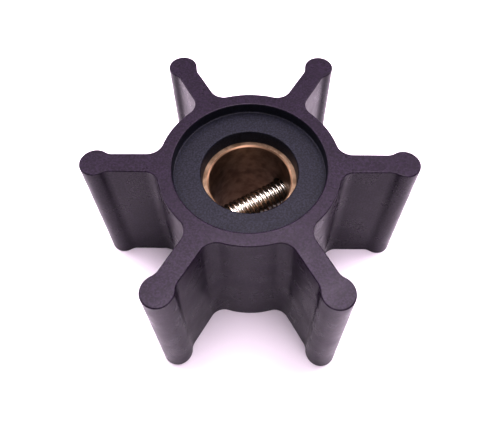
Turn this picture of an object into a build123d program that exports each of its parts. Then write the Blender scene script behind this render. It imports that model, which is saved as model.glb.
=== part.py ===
from build123d import *
import os

# Flexible-vane pump impeller: a moulded rubber wheel round a brass bush, with a drive screw
# across the bush's bore. Millimetres. Z is the shaft axis, the wheel stands on its lower end
# face at Z = 0, and one vane points along +X.

# ---- Rubber wheel ----
OUTER_DIAMETER = 50.8  # across the tips of two opposite vanes
WIDTH = 25.1  # between the two end faces
HUB_DIAMETER = 27.4
VANE_COUNT = 6
VANE_ROOT_THICKNESS = 3.3  # where the web leaves the hub
VANE_TIP_THICKNESS = 3.2  # where the web meets the bead
BEAD_DIAMETER = 4.64  # round sealing bead along each vane tip
ROOT_FILLET = 2.4  # between hub and web
BEAD_FILLET = 2.0  # between web and bead
END_EDGE_CHAMFER = 0.12  # softened outline of both end faces

# ---- Hub ends, alike at both ends ----
RECESS_DIAMETER = 23.1
RECESS_DEPTH = 1.9
RECESS_CORNER_RADIUS = 0.7  # between the recess wall and its floor
LIP_HOLE_DIAMETER = 14.8  # hole in the rubber lip that covers the end of the bush
LIP_HOLE_END_DIAMETER = 14.5  # the same hole where it meets the bush
LIP_THICKNESS = 2.45

# ---- Brass bush ----
BORE_DIAMETER = 12.7
BUSH_DIAMETER = 19.0
BORE_CHAMFER = 0.25
BUSH_EDGE_CHAMFER = 0.4

# ---- Drive screw and its holes ----
SCREW_DIAMETER = 4.17
SCREW_LENGTH = 19.0
SCREW_POINT_REACH = 9.0  # from the shaft axis to the screw's point
SCREW_END_CHAMFER = 0.5
SLOT_WIDTH = 0.8
SLOT_DEPTH = 1.3
CLEARANCE_HOLE_DIAMETER = 4.9  # through the bush wall where the screw goes in
ACCESS_HOLE_DIAMETER = 5.8  # through the rubber hub outside that wall

# ---- Worked out ----
hub_radius = HUB_DIAMETER / 2
bead_radius = BEAD_DIAMETER / 2
bead_centre = OUTER_DIAMETER / 2 - bead_radius
web_middle = (hub_radius + bead_centre) / 2
bore_radius = BORE_DIAMETER / 2
bush_radius = BUSH_DIAMETER / 2
screw_radius = SCREW_DIAMETER / 2
bush_end = RECESS_DEPTH + LIP_THICKNESS  # height of the bush's lower end face
mid_height = WIDTH / 2
half_bush = mid_height - bush_end
beyond_hub = HUB_DIAMETER  # a reach that is sure to leave the hub
screw_angle = 360 / VANE_COUNT / 2  # the screw lies midway between two vanes

# The screw's own plane: Z runs from its point to its slotted end, and X runs up the shaft axis.
screw_direction = Vector(1, 0, 0).rotate(Axis.Z, screw_angle)
screw_plane = Plane(origin=(0, 0, mid_height), x_dir=(0, 0, 1), z_dir=screw_direction)


def distance_from_shaft(shape):
    """How far a vertex or the middle of an edge lies from the shaft axis."""
    middle = shape.center()
    return (middle.X**2 + middle.Y**2) ** 0.5


def vane_outline():
    """One vane in plan: a slightly tapered web from the shaft axis out to a round bead."""
    taper = (VANE_ROOT_THICKNESS - VANE_TIP_THICKNESS) / (bead_centre - hub_radius)
    thickness_at_axis = VANE_ROOT_THICKNESS + taper * hub_radius
    with BuildSketch() as vane:
        Polygon(
            (0, -thickness_at_axis / 2),
            (bead_centre, -VANE_TIP_THICKNESS / 2),
            (bead_centre, VANE_TIP_THICKNESS / 2),
            (0, thickness_at_axis / 2),
            align=None,
        )
        with Locations((bead_centre, 0)):
            Circle(bead_radius)
    return vane.sketch


def wheel_outline():
    """The whole wheel in plan, with the fillets that let the vanes bend without tearing."""
    with BuildSketch() as wheel:
        Circle(hub_radius)
        with PolarLocations(0, VANE_COUNT):
            add(vane_outline())
        root_corners = wheel.vertices().group_by(distance_from_shaft)[0]
        fillet(root_corners, ROOT_FILLET)
        beyond_roots = wheel.vertices().filter_by(lambda v: distance_from_shaft(v) > web_middle)
        bead_corners = beyond_roots.group_by(distance_from_shaft)[0]
        fillet(bead_corners, BEAD_FILLET)
    return wheel.sketch


def hub_cavity():
    """All that the hub's rubber leaves free: recess, lip hole and the seat of the bush."""
    with BuildPart() as cavity:
        with BuildSketch(Plane.XZ) as section:
            with BuildLine():
                Polyline(
                    (0, mid_height),
                    (0, 0),
                    (RECESS_DIAMETER / 2, 0),
                    (RECESS_DIAMETER / 2, RECESS_DEPTH),
                    (LIP_HOLE_DIAMETER / 2, RECESS_DEPTH),
                    (LIP_HOLE_END_DIAMETER / 2, bush_end),
                    (bush_radius - BUSH_EDGE_CHAMFER, bush_end),
                    (bush_radius, bush_end + BUSH_EDGE_CHAMFER),
                    (bush_radius, mid_height),
                    close=True,
                )
            make_face()
            recess_corner = section.vertices().sort_by_distance((RECESS_DIAMETER / 2, 0, RECESS_DEPTH))[0]
            fillet(recess_corner, RECESS_CORNER_RADIUS)
        revolve(axis=Axis.Z)
        mirror(about=Plane.XY.offset(mid_height))
    return cavity.part


def rubber_impeller():
    """The moulding: hub, six beaded vanes, and the holes through the hub."""
    with BuildPart() as wheel:
        add(wheel_outline())
        extrude(amount=WIDTH)
        chamfer(wheel.faces().sort_by(Axis.Z)[0].edges(), END_EDGE_CHAMFER)
        chamfer(wheel.faces().sort_by(Axis.Z)[-1].edges(), END_EDGE_CHAMFER)
        add(hub_cavity(), mode=Mode.SUBTRACT)
        with BuildSketch(screw_plane):
            Circle(ACCESS_HOLE_DIAMETER / 2)
        extrude(amount=beyond_hub, mode=Mode.SUBTRACT)
    return wheel.part


def brass_bush():
    """The turned bush, drilled clear on one side and tapped on the other for the screw."""
    with BuildPart() as bush:
        with Locations((0, 0, mid_height)):
            Cylinder(bush_radius, 2 * half_bush)
            Cylinder(bore_radius, 2 * half_bush, mode=Mode.SUBTRACT)
        rims = bush.edges().filter_by(GeomType.CIRCLE).group_by(SortBy.RADIUS)
        chamfer(rims[0], BORE_CHAMFER)
        chamfer(rims[-1], BUSH_EDGE_CHAMFER)
        with BuildSketch(screw_plane):
            Circle(CLEARANCE_HOLE_DIAMETER / 2)
        extrude(amount=beyond_hub, mode=Mode.SUBTRACT)
        with BuildSketch(screw_plane):
            Circle(screw_radius)
        extrude(amount=-beyond_hub, mode=Mode.SUBTRACT)
    return bush.part


def drive_screw():
    """The headless screw, from its chamfered point to its slotted driving end."""
    with BuildPart(screw_plane.offset(-SCREW_POINT_REACH)) as screw:
        Cylinder(screw_radius, SCREW_LENGTH, align=(Align.CENTER, Align.CENTER, Align.MIN))
        chamfer(screw.edges().filter_by(GeomType.CIRCLE), SCREW_END_CHAMFER)
        with Locations((0, 0, SCREW_LENGTH)):
            Box(
                SLOT_WIDTH,
                SCREW_DIAMETER,
                SLOT_DEPTH,
                align=(Align.CENTER, Align.CENTER, Align.MAX),
                mode=Mode.SUBTRACT,
            )
    return screw.part


os.makedirs("parts", exist_ok=True)
export_step(rubber_impeller(), "parts/rubber_impeller.step")
export_step(brass_bush(), "parts/brass_bush.step")
export_step(drive_screw(), "parts/drive_screw.step")
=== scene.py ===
"""Flexible-vane pump impeller: rubber wheel, brass bush and drive screw, with their finishes.

Every length is in metres and written through MM. The frame is the CAD model's own: Z is the shaft
axis, the wheel stands at Z = 0 and one vane points along +X.
"""

import logging
import math
from collections.abc import Mapping, Sequence
from dataclasses import dataclass
from enum import Enum
from typing import ClassVar

import bmesh
import bpy
from mathutils import Matrix, Vector


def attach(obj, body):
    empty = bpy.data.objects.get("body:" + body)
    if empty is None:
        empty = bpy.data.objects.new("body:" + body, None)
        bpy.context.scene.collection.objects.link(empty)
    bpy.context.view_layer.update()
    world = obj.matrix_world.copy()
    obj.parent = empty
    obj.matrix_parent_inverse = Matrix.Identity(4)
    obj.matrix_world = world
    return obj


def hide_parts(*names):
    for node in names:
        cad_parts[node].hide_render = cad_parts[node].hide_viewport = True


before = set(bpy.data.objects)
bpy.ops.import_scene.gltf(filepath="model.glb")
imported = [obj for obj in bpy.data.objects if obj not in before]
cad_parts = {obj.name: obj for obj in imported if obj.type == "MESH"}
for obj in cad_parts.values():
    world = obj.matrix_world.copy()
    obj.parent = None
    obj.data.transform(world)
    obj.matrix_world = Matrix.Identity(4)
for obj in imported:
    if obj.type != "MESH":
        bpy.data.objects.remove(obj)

LOG = logging.getLogger("impeller")
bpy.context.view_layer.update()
BODY = "root"

MM = 0.001
WELD = 0.002 * MM  # vertices closer than this are one
SHARP_ANGLE = math.radians(38)  # a fold sharper than this keeps a hard edge in the shading
QUARTER = math.pi / 2
ORIGIN = Vector((0.0, 0.0, 0.0))
SHAFT = Vector((0.0, 0.0, 1.0))
ACROSS = Vector((0.0, 1.0, 0.0))  # square to the XZ plane that sections are drawn in

WIDTH = 25.1 * MM
MID_HEIGHT = WIDTH / 2
VANE_COUNT = 6
PITCH_ANGLE = math.tau / VANE_COUNT
BUSH_END = 4.35 * MM  # height of the brass bush's lower end, under the rubber lip
BUSH_RADIUS = 9.5 * MM
BUSH_EDGE = 0.4 * MM
SCREW_RADIUS = 2.085 * MM
HOLE_FACETS = 64

# Takes a shape made along Z to the screw's line: across the shaft, midway between two vanes.
ALONG_SCREW = (
    Matrix.Translation(SHAFT * MID_HEIGHT)
    @ Matrix.Rotation(PITCH_ANGLE / 2, 4, "Z")
    @ Matrix.Rotation(QUARTER, 4, "Y")
)


# ---------------------------------------------------------------- mesh tools


class Carve(Enum):
    """How one closed shape is carved by another."""

    CUT_AWAY = "DIFFERENCE"
    KEEP_COMMON = "INTERSECT"


@dataclass
class Pen:
    """Draws a chain of joined vertices with bmesh operators, as a section or an outline.

    Attributes:
        bm: The bmesh that the chain is drawn in.
        tip: The vertex that the next stroke starts from.
    """

    bm: bmesh.types.BMesh
    tip: bmesh.types.BMVert

    @classmethod
    def at(cls, bm: bmesh.types.BMesh, point: Vector) -> "Pen":
        """Starts a chain.

        Args:
            bm: The bmesh to draw in.
            point: Where the chain starts.

        Returns:
            A pen that rests on its first vertex.
        """
        return cls(bm, bm.verts.new(point))

    def line(self, point: Vector) -> None:
        """Draws a straight stroke.

        Args:
            point: Where the stroke ends.
        """
        made = bmesh.ops.extrude_vert_indiv(self.bm, verts=[self.tip])
        self.tip = made["verts"][0]
        self.tip.co = point

    def arc(self, centre: Vector, axis: Vector, angle: float, steps: int) -> None:
        """Draws a round stroke.

        Args:
            centre: The arc's centre.
            axis: The axis that the stroke turns about, by the right-hand rule.
            angle: How far it turns, in radians.
            steps: How many straight pieces stand for the arc.
        """
        made = bmesh.ops.spin(
            self.bm, geom=[self.tip], cent=centre, axis=axis, angle=angle, steps=steps
        )
        self.tip = next(v for v in made["geom_last"] if isinstance(v, bmesh.types.BMVert))


def flat(x: float, y: float) -> Vector:
    """A point of a plan, at height 0."""
    return Vector((x, y, 0.0))


def upright(radius: float, height: float) -> Vector:
    """A point of a section through the shaft axis."""
    return Vector((radius, 0.0, height))


def weld(bm: bmesh.types.BMesh) -> None:
    """Joins vertices that lie in one place, and turns all faces outwards."""
    bmesh.ops.remove_doubles(bm, verts=bm.verts[:], dist=WELD)
    bmesh.ops.recalc_face_normals(bm, faces=bm.faces[:])


def lathe(bm: bmesh.types.BMesh, steps: int) -> None:
    """Turns a section about the shaft axis into a full round.

    Args:
        bm: The bmesh, holding a section in the XZ plane.
        steps: How many facets go round.
    """
    bmesh.ops.spin(
        bm,
        geom=bm.verts[:] + bm.edges[:],
        cent=ORIGIN,
        axis=SHAFT,
        angle=math.tau,
        steps=steps,
        use_merge=True,
    )
    weld(bm)


def mirror_ends(bm: bmesh.types.BMesh) -> None:
    """Adds the upper half of a shape that is drawn up to mid height.

    Args:
        bm: The bmesh, holding the lower half.
    """
    bmesh.ops.translate(bm, verts=bm.verts[:], vec=-SHAFT * MID_HEIGHT)
    drawn = bm.verts[:] + bm.edges[:] + bm.faces[:]
    bmesh.ops.mirror(bm, geom=drawn, matrix=Matrix.Identity(4), merge_dist=WELD, axis="Z")
    bmesh.ops.translate(bm, verts=bm.verts[:], vec=SHAFT * MID_HEIGHT)


def rod(radius: float, start: float, end: float) -> bmesh.types.BMesh:
    """Makes a closed round rod on the screw's line.

    Args:
        radius: The rod's radius.
        start: Where it starts on that line, from the shaft axis.
        end: Where it ends.

    Returns:
        The rod as a new bmesh.
    """
    bm = bmesh.new()
    bmesh.ops.create_cone(
        bm,
        cap_ends=True,
        segments=HOLE_FACETS,
        radius1=radius,
        radius2=radius,
        depth=end - start,
        matrix=ALONG_SCREW @ Matrix.Translation(SHAFT * (start + end) / 2),
    )
    return bm


def loose_object(name: str, bm: bmesh.types.BMesh) -> bpy.types.Object:
    """Puts a bmesh into the scene as an object, and frees it.

    Args:
        name: The object's name.
        bm: The bmesh to use up.

    Returns:
        The object, at the origin, unturned and unscaled.
    """
    mesh = bpy.data.meshes.new(name)
    bm.to_mesh(mesh)
    bm.free()
    thing = bpy.data.objects.new(name, mesh)
    bpy.context.scene.collection.objects.link(thing)
    return thing


def carved(body: bmesh.types.BMesh, tool: bmesh.types.BMesh, how: Carve) -> bmesh.types.BMesh:
    """Carves one closed shape with another.

    Args:
        body: The shape that is carved; it is used up.
        tool: The shape that carves it; it is used up.
        how: Whether the tool is cut away or the common part is kept.

    Returns:
        The carved shape as a new bmesh.
    """
    body_object = loose_object("carved_body", body)
    tool_object = loose_object("carving_tool", tool)
    modifier = body_object.modifiers.new("carve", "BOOLEAN")
    modifier.operation = how.value
    modifier.solver = "EXACT"
    modifier.object = tool_object
    result = bmesh.new()
    result.from_object(body_object, bpy.context.evaluated_depsgraph_get())
    for scrap in (body_object, tool_object):
        mesh = scrap.data
        bpy.data.objects.remove(scrap)
        bpy.data.meshes.remove(mesh)
    weld(result)
    return result


def join_into(bm: bmesh.types.BMesh, other: bmesh.types.BMesh) -> None:
    """Adds another bmesh's shape to a bmesh, and frees the other.

    Args:
        bm: The bmesh that grows.
        other: The bmesh to use up.
    """
    carrier = bpy.data.meshes.new("carrier")
    other.to_mesh(carrier)
    other.free()
    bm.from_mesh(carrier)
    bpy.data.meshes.remove(carrier)
    weld(bm)


def finished_piece(
    name: str, bm: bmesh.types.BMesh, node: str, material: bpy.types.Material
) -> bpy.types.Object:
    """Makes a shown piece of the impeller that stands for a CAD node.

    Args:
        name: The piece's name.
        bm: Its mesh; it is used up.
        node: The CAD node that it stands for.
        material: Its material.

    Returns:
        The finished object, riding on the part's one body.
    """
    piece = loose_object(name, bm)
    piece.data.shade_smooth()
    piece.data.set_sharp_from_angle(angle=SHARP_ANGLE)
    flats = piece.modifiers.new("flat_faces_stay_flat", "WEIGHTED_NORMAL")
    flats.keep_sharp = True
    piece.data.materials.append(material)
    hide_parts(node)
    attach(piece, BODY)
    LOG.info("%s: %d faces", name, len(piece.data.polygons))
    return piece


# ---------------------------------------------------------------- finishes

# A cloudy pattern's value lies about 0.5. Between these values of it, a shade turns into the next
# one and smooth turns into rough.
SHADE_TURNS = (0.35, 0.7)
ROUGHNESS_TURNS = (0.25, 0.75)

# Blender's mix node gives its sockets for colours the same names as the rest, so they are found
# by number.
MIX_FIRST, MIX_SECOND, MIX_RESULT = 6, 7, 2

Colour = tuple[float, float, float, float]
RING_SCALE = math.tau / 20  # the wave node draws rings this far apart at a scale of 1


def linear(colour: str) -> Colour:
    """Turns an sRGB hex colour into the linear colour that shaders work in.

    Args:
        colour: Six hex digits after a hash sign.

    Returns:
        Linear red, green and blue, with full alpha.
    """
    channels = [int(colour[start : start + 2], 16) / 255 for start in (1, 3, 5)]
    return (*(c / 12.92 if c <= 0.04045 else ((c + 0.055) / 1.055) ** 2.4 for c in channels), 1.0)


def add_node(
    tree: bpy.types.NodeTree, kind: str, sockets: Mapping[str | int, object], **settings: object
) -> bpy.types.Node:
    """Adds a node with its settings and links.

    Args:
        tree: The node tree that it goes into.
        kind: The node's type name in Blender.
        sockets: For each input by name or number, a value or the output that feeds it.
        **settings: The node's own settings, by attribute name.

    Returns:
        The new node.
    """
    node = tree.nodes.new(kind)
    for name, value in settings.items():
        setattr(node, name, value)
    for key, value in sockets.items():
        if isinstance(value, bpy.types.NodeSocket):
            tree.links.new(value, node.inputs[key])
        else:
            node.inputs[key].default_value = value
    return node


def empty_material(name: str) -> bpy.types.Material:
    """Makes a material with no nodes in it yet.

    Args:
        name: The material's name.

    Returns:
        The material.
    """
    material = bpy.data.materials.new(name)
    material.use_nodes = True
    material.node_tree.nodes.clear()
    return material


def cloudy_pattern(tree: bpy.types.NodeTree, lump: float, octaves: float) -> bpy.types.NodeSocket:
    """Adds an uneven pattern that is fixed to the object.

    Args:
        tree: The node tree.
        lump: The size of its lumps, in metres.
        octaves: How many finer layers it has.

    Returns:
        The pattern's value, about 0 to 1.
    """
    place = add_node(tree, "ShaderNodeTexCoord", {})
    pattern = add_node(
        tree,
        "ShaderNodeTexNoise",
        {"Vector": place.outputs["Object"], "Scale": 1 / lump, "Detail": octaves},
    )
    return pattern.outputs["Fac"]


def levelness(tree: bpy.types.NodeTree) -> bpy.types.NodeSocket:
    """Adds how level the surface lies.

    Args:
        tree: The node tree.

    Returns:
        The levelness: 1 on an end face, 0 on an upright wall.
    """
    place = add_node(tree, "ShaderNodeTexCoord", {})
    upward = add_node(
        tree,
        "ShaderNodeVectorMath",
        {0: place.outputs["Normal"], 1: SHAFT},
        operation="DOT_PRODUCT",
    )
    level = add_node(tree, "ShaderNodeMath", {0: upward.outputs["Value"]}, operation="ABSOLUTE")
    return level.outputs[0]


def shaft_distance(tree: bpy.types.NodeTree) -> bpy.types.NodeSocket:
    """Adds the distance of each point from the shaft axis.

    Args:
        tree: The node tree.

    Returns:
        The distance, in metres.
    """
    place = add_node(tree, "ShaderNodeTexCoord", {})
    level = add_node(
        tree,
        "ShaderNodeVectorMath",
        {0: place.outputs["Object"], 1: (1.0, 1.0, 0.0)},
        operation="MULTIPLY",
    )
    away = add_node(tree, "ShaderNodeVectorMath", {0: level.outputs[0]}, operation="LENGTH")
    return away.outputs["Value"]


def turning_colour(
    tree: bpy.types.NodeTree,
    value: bpy.types.NodeSocket,
    limits: tuple[float, float],
    first: Colour | bpy.types.NodeSocket,
    second: Colour | bpy.types.NodeSocket,
) -> bpy.types.NodeSocket:
    """Adds a colour that turns smoothly into another as a value rises.

    Args:
        tree: The node tree.
        value: The value that it follows.
        limits: The values at which it starts to turn and has turned.
        first: The colour at low values, linear or as a node's output.
        second: The colour at high values.

    Returns:
        The turning colour.
    """
    share = add_node(
        tree,
        "ShaderNodeMapRange",
        {"Value": value, "From Min": limits[0], "From Max": limits[1]},
        interpolation_type="SMOOTHSTEP",
    )
    mix = add_node(
        tree,
        "ShaderNodeMix",
        {0: share.outputs["Result"], MIX_FIRST: first, MIX_SECOND: second},
        data_type="RGBA",
    )
    return mix.outputs[MIX_RESULT]


@dataclass(frozen=True)
class Zone:
    """A zone of a finish that goes round the shaft axis.

    Attributes:
        first: One of its two shades, as hex.
        second: The other.
        roughness: Its roughness.
        inside: The radius from the shaft axis at which it starts.
    """

    first: str
    second: str
    roughness: float
    inside: float = 0.0

    border: ClassVar[float] = 0.05 * MM  # the width over which one zone turns into the next

    def shade(
        self, tree: bpy.types.NodeTree, speckle: bpy.types.NodeSocket
    ) -> bpy.types.NodeSocket:
        """Adds the zone's colour.

        Args:
            tree: The node tree.
            speckle: The pattern that mixes its two shades.

        Returns:
            The colour.
        """
        ends = linear(self.first), linear(self.second)
        return turning_colour(tree, speckle, SHADE_TURNS, *ends)


def paint_zones(
    tree: bpy.types.NodeTree,
    zones: Sequence[Zone],
    speckle: bpy.types.NodeSocket,
    cloud: bpy.types.NodeSocket,
    uneven: float,
) -> tuple[bpy.types.NodeSocket, bpy.types.NodeSocket]:
    """Adds the colour and roughness of a finish, zone by zone from the shaft axis outwards.

    Args:
        tree: The node tree.
        zones: The zones, the innermost first.
        speckle: The pattern that mixes each zone's two shades.
        cloud: The pattern that the roughness follows.
        uneven: How far the roughness ranges over that pattern.

    Returns:
        The colour and the roughness.
    """
    inner, *outer = zones
    colour, roughness = inner.shade(tree, speckle), inner.roughness
    for zone in outer:
        distance = shaft_distance(tree)
        border = (zone.inside, zone.inside + zone.border)
        colour = turning_colour(tree, distance, border, colour, zone.shade(tree, speckle))
        step = add_node(
            tree,
            "ShaderNodeMapRange",
            {
                "Value": distance,
                "From Min": border[0],
                "From Max": border[1],
                "To Min": roughness,
                "To Max": zone.roughness,
            },
            interpolation_type="SMOOTHSTEP",
        )
        roughness = step.outputs["Result"]
    swing = add_node(
        tree,
        "ShaderNodeMapRange",
        {
            "Value": cloud,
            "From Min": ROUGHNESS_TURNS[0],
            "From Max": ROUGHNESS_TURNS[1],
            "To Min": -uneven / 2,
            "To Max": uneven / 2,
        },
        interpolation_type="SMOOTHSTEP",
    )
    total = add_node(
        tree, "ShaderNodeMath", {0: roughness, 1: swing.outputs["Result"]}, operation="ADD"
    )
    return colour, total.outputs[0]


@dataclass(frozen=True)
class MouldedNeoprene:
    """Carbon-black neoprene, press moulded: a satin skin that goes pale where it is seen edge on.

    Inside the recess rim the rubber is coloured darker and bluer than outside it, and is rougher.
    """

    # Inside the recess rim: coloured darker and bluer than the skin, and rougher.
    hub_inside: Zone = Zone("#14151c", "#272835", 0.42)
    skin: Zone = Zone("#1f1723", "#302537", 0.30, inside=11.55 * MM)
    sheen_tint: str = "#f6f7f7"  # the gloss of a carbon-black skin, a shade cooler than its lights
    ior: float = 1.44
    gloss: float = 0.33  # less gloss than bare polymer, as the skin is finely pitted
    uneven: float = 0.12
    grain: float = 0.28 * MM  # the skin's texture is finer than this, which is as fine as shows
    grain_octaves: float = 3.0
    grain_height: float = 0.005 * MM
    wall_grain: float = 0.25  # share of that height on side walls, which the mould leaves smoother
    wall_lean: tuple[float, float] = (0.4, 0.9)  # levelness over which a wall becomes an end face
    bloom: float = 3.5 * MM  # faint uneven patches
    bloom_octaves: float = 4.0

    def material(self) -> bpy.types.Material:
        """Builds the material.

        Returns:
            The material with all its nodes.
        """
        material = empty_material("moulded_neoprene")
        tree = material.node_tree
        grain = cloudy_pattern(tree, self.grain, self.grain_octaves)
        bloom = cloudy_pattern(tree, self.bloom, self.bloom_octaves)
        colour, roughness = paint_zones(tree, (self.hub_inside, self.skin), grain, bloom, self.uneven)
        share = add_node(
            tree,
            "ShaderNodeMapRange",
            {
                "Value": levelness(tree),
                "From Min": self.wall_lean[0],
                "From Max": self.wall_lean[1],
                "To Min": self.wall_grain,
            },
            interpolation_type="SMOOTHSTEP",
        )
        height = add_node(
            tree, "ShaderNodeMath", {0: grain, 1: share.outputs["Result"]}, operation="MULTIPLY"
        )
        bump = add_node(
            tree,
            "ShaderNodeBump",
            {"Height": height.outputs[0], "Distance": self.grain_height},
        )
        shader = add_node(
            tree,
            "ShaderNodeBsdfPrincipled",
            {
                "Base Color": colour,
                "Roughness": roughness,
                "IOR": self.ior,
                "Specular IOR Level": self.gloss,
                "Specular Tint": linear(self.sheen_tint),
                "Normal": bump.outputs["Normal"],
            },
        )
        add_node(tree, "ShaderNodeOutputMaterial", {"Surface": shader.outputs["BSDF"]})
        return material


@dataclass(frozen=True)
class TurnedBrass:
    """Free-cutting brass, turned: tan gold, with fine tool lines, and a bore browned by oxide.

    The chamfer between the end face and the bore is coloured brighter than both: a painted
    highlight along its edge.
    """

    bore: Zone = Zone("#a18771", "#806653", 0.4)
    # Painted highlight: the chamfer is coloured brighter than the face and the bore, where the
    # lights glint along it.
    chamfer_highlight: Zone = Zone("#c2a58a", "#c2a58a", 0.38, inside=6.35 * MM)
    face: Zone = Zone("#948471", "#776755", 0.62, inside=6.58 * MM)
    uneven: float = 0.12
    tool_line: float = 0.100531 * MM  # the feed of a finishing cut, about a tenth of a millimetre
    waver: float = 0.4
    line_height: float = 0.001 * MM
    stain: float = 1.6 * MM
    stain_octaves: float = 5.0

    def material(self) -> bpy.types.Material:
        """Builds the material.

        Returns:
            The material with all its nodes.
        """
        material = empty_material("turned_brass")
        tree = material.node_tree
        stain = cloudy_pattern(tree, self.stain, self.stain_octaves)
        zones = (self.bore, self.chamfer_highlight, self.face)
        colour, roughness = paint_zones(tree, zones, stain, stain, self.uneven)
        place = add_node(tree, "ShaderNodeTexCoord", {})
        lines = add_node(
            tree,
            "ShaderNodeTexWave",
            {
                "Vector": place.outputs["Object"],
                "Scale": RING_SCALE / self.tool_line,
                "Distortion": self.waver,
            },
            wave_type="RINGS",
            rings_direction="Z",
        )
        bump = add_node(
            tree,
            "ShaderNodeBump",
            {"Height": lines.outputs["Fac"], "Distance": self.line_height},
        )
        shader = add_node(
            tree,
            "ShaderNodeBsdfPrincipled",
            {
                "Base Color": colour,
                "Metallic": 1.0,
                "Roughness": roughness,
                "Normal": bump.outputs["Normal"],
            },
        )
        add_node(tree, "ShaderNodeOutputMaterial", {"Surface": shader.outputs["BSDF"]})
        return material


@dataclass(frozen=True)
class RolledStainless:
    """Stainless steel with a rolled thread: bright, almost mirror-smooth flanks."""

    thread: Zone = Zone("#dadbd3", "#b1b0a9", 0.22)
    uneven: float = 0.1
    smear: float = 0.7 * MM
    smear_octaves: float = 3.0

    def material(self) -> bpy.types.Material:
        """Builds the material.

        Returns:
            The material with all its nodes.
        """
        material = empty_material("rolled_stainless")
        tree = material.node_tree
        smear = cloudy_pattern(tree, self.smear, self.smear_octaves)
        colour, roughness = paint_zones(tree, (self.thread,), smear, smear, self.uneven)
        shader = add_node(
            tree,
            "ShaderNodeBsdfPrincipled",
            {"Base Color": colour, "Metallic": 1.0, "Roughness": roughness},
        )
        add_node(tree, "ShaderNodeOutputMaterial", {"Surface": shader.outputs["BSDF"]})
        return material


@dataclass(frozen=True)
class PaleBoard:
    """Matt white card under the part: no gloss, so that only soft shade shows on it.

    The bay between the two near vanes is coloured a faint violet grey: painted shade where the
    vanes and hub shade the card.
    """

    white: str = "#f6f3f7"
    shade: str = "#f3f0f4"
    # Painted shade: the violet grey of the card in the bay between the near vanes.
    painted_bay_shade: str = "#eae8eb"
    roughness: float = 0.9
    gloss: float = 0.1
    fibre: float = 12 * MM
    fibre_octaves: float = 2.0
    fibre_turns: tuple[float, float] = (0.3, 0.7)
    bay: tuple[float, float, float] = (0.0, -20 * MM, 0.0)
    bay_reach: tuple[float, float] = (11 * MM, 19 * MM)  # where the painted shade starts and has faded out

    def material(self) -> bpy.types.Material:
        """Builds the material.

        Returns:
            The material with all its nodes.
        """
        material = empty_material("pale_board")
        tree = material.node_tree
        place = add_node(tree, "ShaderNodeTexCoord", {})
        from_bay = add_node(
            tree,
            "ShaderNodeVectorMath",
            {0: place.outputs["Object"], 1: self.bay},
            operation="DISTANCE",
        )
        fibre = cloudy_pattern(tree, self.fibre, self.fibre_octaves)
        card = turning_colour(
            tree, fibre, self.fibre_turns, linear(self.white), linear(self.shade)
        )
        # Painted shade: near the bay the card turns to that violet grey.
        colour = turning_colour(
            tree, from_bay.outputs["Value"], self.bay_reach, linear(self.painted_bay_shade), card
        )
        shader = add_node(
            tree,
            "ShaderNodeBsdfPrincipled",
            {
                "Base Color": colour,
                "Roughness": self.roughness,
                "Specular IOR Level": self.gloss,
            },
        )
        add_node(tree, "ShaderNodeOutputMaterial", {"Surface": shader.outputs["BSDF"]})
        return material


# ---------------------------------------------------------------- the impeller


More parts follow.
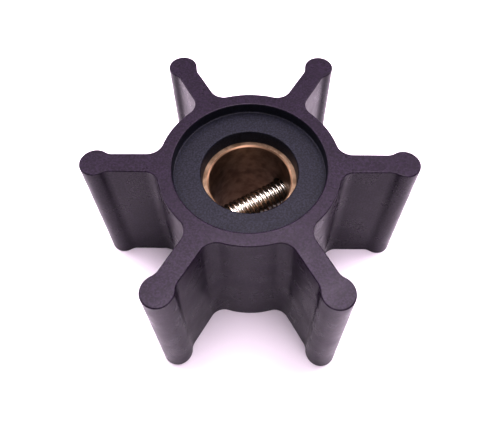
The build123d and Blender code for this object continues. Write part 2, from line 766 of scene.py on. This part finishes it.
@dataclass
class RubberWheel:
    """The moulding: a hub with six straight vanes, each ending in a round bead."""

    outer_radius: float = 25.4 * MM
    hub_radius: float = 13.7 * MM
    root_thickness: float = 3.3 * MM
    tip_thickness: float = 3.2 * MM
    bead_radius: float = 2.32 * MM
    root_fillet: float = 2.4 * MM
    bead_fillet: float = 2.0 * MM
    edge_round: float = 0.2 * MM
    recess_radius: float = 11.55 * MM
    recess_depth: float = 1.9 * MM
    recess_corner: float = 0.25 * MM
    lip_hole_radius: float = 7.4 * MM
    lip_hole_end_radius: float = 7.25 * MM  # where the lip meets the bush
    access_radius: float = 2.9 * MM
    hub_steps: int = 5
    root_steps: int = 14
    neck_steps: int = 8
    bead_steps: int = 26  # facets of half a bead
    recess_steps: int = 10  # facets of the recess rim in half a vane's pitch
    corner_steps: int = 6
    edge_segments: int = 4
    rim_fold: float = math.radians(80)  # edges that fold more than this bound an end face

    @property
    def bead_centre(self) -> float:
        """Distance of a bead's centre from the shaft axis."""
        return self.outer_radius - self.bead_radius

    def outline(self) -> bmesh.types.BMesh:
        """Draws the wheel's end face, flat, from one half pitch of the outline.

        Returns:
            The end face with the recess left open, as six alike sectors.
        """
        bm = bmesh.new()
        half_pitch = PITCH_ANGLE / 2
        taper = math.atan2(
            (self.root_thickness - self.tip_thickness) / 2, self.bead_centre - self.hub_radius
        )
        along = flat(math.cos(taper), -math.sin(taper))
        outward = flat(math.sin(taper), math.cos(taper))
        flank = flat(self.hub_radius, self.root_thickness / 2)

        def beside_flank(offset: float, centre: Vector, reach: float, side: int) -> Vector:
            """Finds the point at an offset from the flank and a given reach from a centre.

            Args:
                offset: Its distance from the flank.
                centre: The centre.
                reach: Its distance from that centre.
                side: 1 for the one of the two that lies nearer the bead, -1 for the other.

            Returns:
                The point.
            """
            start = flank + outward * offset - centre
            back = start.dot(along)
            gap = math.sqrt(back**2 - start.length_squared + reach**2)
            return centre + start + along * (side * gap - back)

        bead = flat(self.bead_centre, 0.0)
        root = beside_flank(self.root_fillet, ORIGIN, self.hub_radius + self.root_fillet, 1)
        neck = beside_flank(self.bead_fillet, bead, self.bead_radius + self.bead_fillet, -1)
        root_angle = math.atan2(root.y, root.x)
        root_turn = QUARTER - root_angle - taper
        to_bead = bead - neck
        neck_turn = (-outward).angle(to_bead)
        from_bead = neck - bead
        bead_turn = math.atan2(from_bead.y, from_bead.x)

        start = flat(math.cos(half_pitch), math.sin(half_pitch))
        pen = Pen.at(bm, start * self.hub_radius)
        pen.arc(ORIGIN, -SHAFT, half_pitch - root_angle, self.hub_steps)
        pen.arc(root, SHAFT, root_turn, self.root_steps)
        pen.line(neck - outward * self.bead_fillet)
        pen.arc(neck, SHAFT, neck_turn, self.neck_steps)
        pen.arc(bead, -SHAFT, bead_turn, self.bead_steps)
        pen.line(flat(self.rim_radius, 0.0))
        pen.arc(ORIGIN, SHAFT, half_pitch, self.recess_steps)
        pen.line(start * self.hub_radius)
        weld(bm)
        bmesh.ops.contextual_create(bm, geom=bm.edges[:])
        everything = bm.verts[:] + bm.edges[:] + bm.faces[:]
        bmesh.ops.mirror(bm, geom=everything, matrix=Matrix.Identity(4), merge_dist=WELD, axis="Y")
        bmesh.ops.spin(
            bm,
            geom=bm.verts[:] + bm.edges[:] + bm.faces[:],
            cent=ORIGIN,
            axis=SHAFT,
            angle=math.tau - PITCH_ANGLE,
            steps=VANE_COUNT - 1,
            use_duplicate=True,
        )
        weld(bm)
        return bm

    @property
    def rim_radius(self) -> float:
        """Radius at which the flat end face gives way to the recess's rounded rim."""
        return self.recess_radius + self.edge_round

    def cavity(self) -> bmesh.types.BMesh:
        """Turns all the inside walls of the hub: both recesses, both lips and the bush's seat.

        Returns:
            The walls, open at both end faces.
        """
        bm = bmesh.new()
        soft, corner = self.edge_round, self.recess_corner
        floor, lip = self.recess_depth, self.lip_hole_radius
        pen = Pen.at(bm, upright(self.rim_radius, 0.0))
        pen.arc(upright(self.rim_radius, soft), ACROSS, QUARTER, self.edge_segments)
        pen.line(upright(self.recess_radius, floor - corner))
        turn = upright(self.recess_radius - corner, floor - corner)
        pen.arc(turn, -ACROSS, QUARTER, self.corner_steps)
        pen.line(upright(lip + soft, floor))
        pen.arc(upright(lip + soft, floor + soft), ACROSS, QUARTER, self.edge_segments)
        pen.line(upright(self.lip_hole_end_radius, BUSH_END))
        pen.line(upright(BUSH_RADIUS - BUSH_EDGE, BUSH_END))
        pen.line(upright(BUSH_RADIUS, BUSH_END + BUSH_EDGE))
        pen.line(upright(BUSH_RADIUS, MID_HEIGHT))
        mirror_ends(bm)
        lathe(bm, 2 * VANE_COUNT * self.recess_steps)
        return bm

    def shape(self) -> bmesh.types.BMesh:
        """Builds the whole moulding.

        Returns:
            A closed shell.
        """
        bm = self.outline()
        raised = bmesh.ops.extrude_face_region(bm, geom=bm.faces[:], use_keep_orig=True)
        upper = [v for v in raised["geom"] if isinstance(v, bmesh.types.BMVert)]
        bmesh.ops.translate(bm, verts=upper, vec=SHAFT * WIDTH)
        weld(bm)
        inner = self.rim_radius + WELD
        bore_walls = [
            face for face in bm.faces if all(v.co.xy.length < inner for v in face.verts)
        ]
        bmesh.ops.delete(bm, geom=bore_walls, context="FACES_ONLY")
        rims = [
            edge
            for edge in bm.edges
            if len(edge.link_faces) == 2 and edge.calc_face_angle() > self.rim_fold
        ]
        bmesh.ops.bevel(
            bm,
            geom=rims,
            offset=self.edge_round,
            offset_type="OFFSET",
            segments=self.edge_segments,
            profile=0.5,
            affect="EDGES",
            material=-1,
        )
        join_into(bm, self.cavity())
        hole = rod(self.access_radius, 0.0, self.outer_radius)
        return carved(bm, hole, Carve.CUT_AWAY)

    def build(self) -> bpy.types.Object:
        """Builds the wheel and dresses it in neoprene."""
        return finished_piece(
            "rubber_wheel",
            self.shape(),
            "rubber_impeller",
            MouldedNeoprene().material(),
        )


@dataclass
class BrassBush:
    """The turned bush inside the rubber, drilled on one side and tapped on the other."""

    bore_radius: float = 6.35 * MM
    bore_chamfer: float = 0.25 * MM
    clearance_radius: float = 2.45 * MM
    facets: int = 160

    def shape(self) -> bmesh.types.BMesh:
        """Builds the bush.

        Returns:
            A closed shell.
        """
        bm = bmesh.new()
        pen = Pen.at(bm, upright(self.bore_radius, MID_HEIGHT))
        pen.line(upright(self.bore_radius, BUSH_END + self.bore_chamfer))
        pen.line(upright(self.bore_radius + self.bore_chamfer, BUSH_END))
        pen.line(upright(BUSH_RADIUS - BUSH_EDGE, BUSH_END))
        pen.line(upright(BUSH_RADIUS, BUSH_END + BUSH_EDGE))
        pen.line(upright(BUSH_RADIUS, MID_HEIGHT))
        mirror_ends(bm)
        lathe(bm, self.facets)
        clearance_hole = rod(self.clearance_radius, 0.0, 2 * BUSH_RADIUS)
        tapped_hole = rod(SCREW_RADIUS, -2 * BUSH_RADIUS, 0.0)
        bm = carved(bm, clearance_hole, Carve.CUT_AWAY)
        return carved(bm, tapped_hole, Carve.CUT_AWAY)

    def build(self) -> bpy.types.Object:
        """Builds the bush and dresses it in brass."""
        return finished_piece(
            "brass_bush_turned",
            self.shape(),
            "brass_bush",
            TurnedBrass().material(),
        )


@dataclass
class DriveScrew:
    """The headless slotted screw that crosses the bore and drives the wheel."""

    length: float = 19.0 * MM
    point_reach: float = 9.0 * MM
    pitch: float = 25.4 / 32 * MM
    end_chamfer: float = 0.5 * MM
    slot_width: float = 0.8 * MM
    slot_depth: float = 1.3 * MM
    thread_depth: float = 0.43 * MM
    crest_breadth: int = 2  # 1 is a plain wave; more makes broad crests and narrow valleys
    profile_steps: int = 12
    steps_per_turn: int = 40
    spare_turns: int = 3  # thread wound past the screw's two ends, for the blank to trim
    run_in: int = 2  # how many pitches short of the point the thread starts
    blank_facets: int = 96

    def thread(self) -> bmesh.types.BMesh:
        """Winds the thread as one ridge swept along the screw, longer than the screw at both ends.

        Returns:
            A closed shell along Z, with the shaft axis at Z = 0.
        """
        bm = bmesh.new()
        pitch = self.pitch
        turns = math.ceil(self.length / pitch) + self.spare_turns
        base = -self.point_reach - self.run_in * pitch
        pen = Pen.at(bm, upright(SCREW_RADIUS - self.thread_depth, base))
        for step in range(1, self.profile_steps + 1):
            share = step / self.profile_steps
            drop = self.thread_depth * math.cos(math.pi * share) ** (2 * self.crest_breadth)
            pen.line(upright(SCREW_RADIUS - drop, base + share * pitch))
        bmesh.ops.spin(
            bm,
            geom=bm.verts[:] + bm.edges[:],
            cent=ORIGIN,
            axis=SHAFT,
            dvec=SHAFT * pitch / self.steps_per_turn,
            angle=math.tau * turns,
            steps=turns * self.steps_per_turn,
        )
        weld(bm)
        # A cone closes each end, with its apex a pitch past the last of the ridge.
        middle = base + turns / 2 * pitch
        for end, height in ((-1, base - pitch), (1, base + (turns + 2) * pitch)):
            rim = [
                edge
                for edge in bm.edges
                if edge.is_boundary and end * (edge.verts[0].co.z - middle) > 0
            ]
            cap = bmesh.ops.extrude_edge_only(bm, edges=rim)
            apex = [v for v in cap["geom"] if isinstance(v, bmesh.types.BMVert)]
            bmesh.ops.pointmerge(bm, verts=apex, merge_co=SHAFT * height)
        weld(bm)
        return bm

    def blank(self) -> bmesh.types.BMesh:
        """Makes the plain chamfered rod that bounds the thread, along Z.

        It is a weld's width wider than the thread, so that it leaves the crests whole.

        Returns:
            A closed shell.
        """
        bm = bmesh.new()
        point = -self.point_reach
        pen = Pen.at(bm, upright(0.0, point))
        pen.line(upright(SCREW_RADIUS - self.end_chamfer, point))
        pen.line(upright(SCREW_RADIUS + WELD, point + self.end_chamfer))
        pen.line(upright(SCREW_RADIUS + WELD, point + self.length - self.end_chamfer))
        pen.line(upright(SCREW_RADIUS - self.end_chamfer, point + self.length))
        pen.line(upright(0.0, point + self.length))
        lathe(bm, self.blank_facets)
        return bm

    def driving_slot(self) -> bmesh.types.BMesh:
        """Makes the bar that cuts the driver's slot, along Z.

        It reaches past the screw everywhere but at the slot's floor.

        Returns:
            A closed shell.
        """
        bm = bmesh.new()
        end = self.length - self.point_reach
        size = Vector((self.slot_width, 4 * SCREW_RADIUS, 2 * self.slot_depth))
        place = Matrix.Translation(SHAFT * end) @ Matrix.Diagonal((*size, 1.0))
        bmesh.ops.create_cube(bm, size=1.0, matrix=place)
        return bm

    def build(self) -> bpy.types.Object:
        """Builds the screw and dresses it in steel.

        Returns:
            The finished piece.
        """
        bm = carved(self.thread(), self.blank(), Carve.KEEP_COMMON)
        bm = carved(bm, self.driving_slot(), Carve.CUT_AWAY)
        bmesh.ops.transform(bm, matrix=ALONG_SCREW, verts=bm.verts[:])
        return finished_piece(
            "drive_screw_threaded",
            bm,
            "drive_screw",
            RolledStainless().material(),
        )


# ---------------------------------------------------------------- the studio


def direction(azimuth: float, elevation: float) -> Vector:
    """A unit vector from the part towards a place in the studio.

    Args:
        azimuth: Its angle round the shaft axis from the camera's side, in radians.
        elevation: Its angle above the floor, in radians.

    Returns:
        The direction.
    """
    level = math.cos(elevation)
    return Vector((math.sin(azimuth) * level, -math.cos(azimuth) * level, math.sin(elevation)))


@dataclass(frozen=True)
class Softbox:
    """A round soft light that faces the part.

    Attributes:
        name: What it is called.
        azimuth: Where it stands, in degrees from the camera's side.
        elevation: How high it stands, in degrees.
        power: Its power in watts.
    """

    name: str
    azimuth: float
    elevation: float
    power: float

    reach: ClassVar[float] = 600 * MM
    width: ClassVar[float] = 360 * MM

    def build(self, tint: tuple[float, float, float]) -> None:
        """Hangs the light.

        Args:
            tint: Its colour, linear.
        """
        away = direction(math.radians(self.azimuth), math.radians(self.elevation))
        data = bpy.data.lights.new(self.name, "AREA")
        data.shape = "DISK"
        data.size = self.width
        data.energy = self.power
        data.color = tint
        lamp = bpy.data.objects.new(self.name, data)
        turn = away.to_track_quat("Z", "Y").to_matrix().to_4x4()
        lamp.matrix_world = Matrix.Translation(away * self.reach) @ turn
        bpy.context.scene.collection.objects.link(lamp)


SOFTBOXES = (
    Softbox("overhead", 0, 90, 1.6),
    Softbox("overhead_near", 0, 75, 0.65),
    Softbox("high_near_right", 30, 52, 1.2),
    Softbox("near", 0, 37, 0.42),
    Softbox("overhead_far", 165, 79, 2.6),
    Softbox("far_left", 240, 58, 0.95),
    Softbox("far_middle", 180, 58, 0.65),
    Softbox("far_right", 120, 58, 1.15),
    Softbox("low_far_left", 210, 40, 0.3),
    Softbox("low_far_right", 150, 40, 0.38),
    Softbox("wide_left", 240, 33, 1.8),
    Softbox("wide_right", 120, 33, 2.0),
    Softbox("side_left", 270, 20, 0.2),
    Softbox("low_near_left", 300, 7, 0.3),
    Softbox("low_near_right", 60, 7, 0.1),
)


@dataclass
class Studio:
    """A white card, soft lights all round and the camera, close above the part."""

    floor_size: float = 800 * MM
    floor_drop: float = 0.02 * MM  # keeps the card just clear of the wheel's end face
    light_tint: str = "#fff3fd"
    sky_strength: float = 0.02
    wall_strength: float = 0.95  # as the camera sees it
    wall_glow: float = 0.45  # as it lights the part
    wall_rise: tuple[float, float] = (0.18, 0.55)  # sines of the heights at which it fades out
    contrast: float = 0.72  # display gamma; below 1, the darks go deeper
    azimuth: float = math.radians(1.2157)
    elevation: float = math.radians(59.4)
    distance: float = 91.187 * MM
    aim_height: float = 12.545 * MM
    roll: float = math.radians(-0.6875)
    pan: float = math.radians(-0.0085)
    tilt: float = math.radians(5.5386)
    lens: float = 39.135
    shift_y: float = -0.12

    def floor(self) -> None:
        """Lays the card."""
        bm = bmesh.new()
        bmesh.ops.create_grid(
            bm,
            x_segments=1,
            y_segments=1,
            size=self.floor_size / 2,
            matrix=Matrix.Translation(-SHAFT * self.floor_drop),
        )
        card = loose_object("floor_card", bm)
        card.data.materials.append(PaleBoard().material())

    def lights(self) -> None:
        """Sets the pale walls all round the card, the dim ceiling and the soft lights."""
        world = bpy.data.worlds.new("studio_surroundings")
        world.use_nodes = True
        tree = world.node_tree
        tree.nodes.clear()
        towards = add_node(tree, "ShaderNodeTexCoord", {}).outputs["Generated"]
        rise = add_node(tree, "ShaderNodeSeparateXYZ", {0: towards}).outputs["Z"]
        seen = add_node(tree, "ShaderNodeLightPath", {}).outputs["Is Camera Ray"]
        wall = add_node(
            tree,
            "ShaderNodeMapRange",
            {"Value": seen, "To Min": self.wall_glow, "To Max": self.wall_strength},
        )
        strength = add_node(
            tree,
            "ShaderNodeMapRange",
            {
                "Value": rise,
                "From Min": self.wall_rise[0],
                "From Max": self.wall_rise[1],
                "To Min": wall.outputs["Result"],
                "To Max": self.sky_strength,
            },
            interpolation_type="SMOOTHSTEP",
        )
        glow = add_node(
            tree,
            "ShaderNodeBackground",
            {"Color": linear(self.light_tint), "Strength": strength.outputs["Result"]},
        )
        add_node(tree, "ShaderNodeOutputWorld", {"Surface": glow.outputs["Background"]})
        bpy.context.scene.world = world
        for softbox in SOFTBOXES:
            softbox.build(linear(self.light_tint)[:3])

    def camera(self) -> None:
        """Sets up the camera."""
        back = direction(self.azimuth, self.elevation)
        right = SHAFT.cross(back).normalized()
        aimed = Matrix((right, back.cross(right), back)).transposed().to_4x4()
        turned = (
            aimed
            @ Matrix.Rotation(self.roll, 4, "Z")
            @ Matrix.Rotation(self.pan, 4, "Y")
            @ Matrix.Rotation(self.tilt, 4, "X")
        )
        data = bpy.data.cameras.new("camera")
        data.lens = self.lens
        data.shift_y = self.shift_y
        data.clip_start = 1 * MM
        camera = bpy.data.objects.new("camera", data)
        eye = SHAFT * self.aim_height + back * self.distance
        camera.matrix_world = Matrix.Translation(eye) @ turned
        bpy.context.scene.collection.objects.link(camera)
        bpy.context.scene.camera = camera
        bpy.context.scene.view_settings.view_transform = "Standard"
        bpy.context.scene.view_settings.gamma = self.contrast

    def build(self) -> None:
        """Builds the surroundings."""
        self.floor()
        self.lights()
        self.camera()


def main() -> None:
    """Builds each piece and the studio."""
    logging.basicConfig(level=logging.INFO, format="%(name)s: %(message)s")
    for part in (RubberWheel(), BrassBush(), DriveScrew()):
        piece = part.build()
        LOG.info("built %s", piece.name)
    Studio().build()


if __name__ == "__main__":
    main()
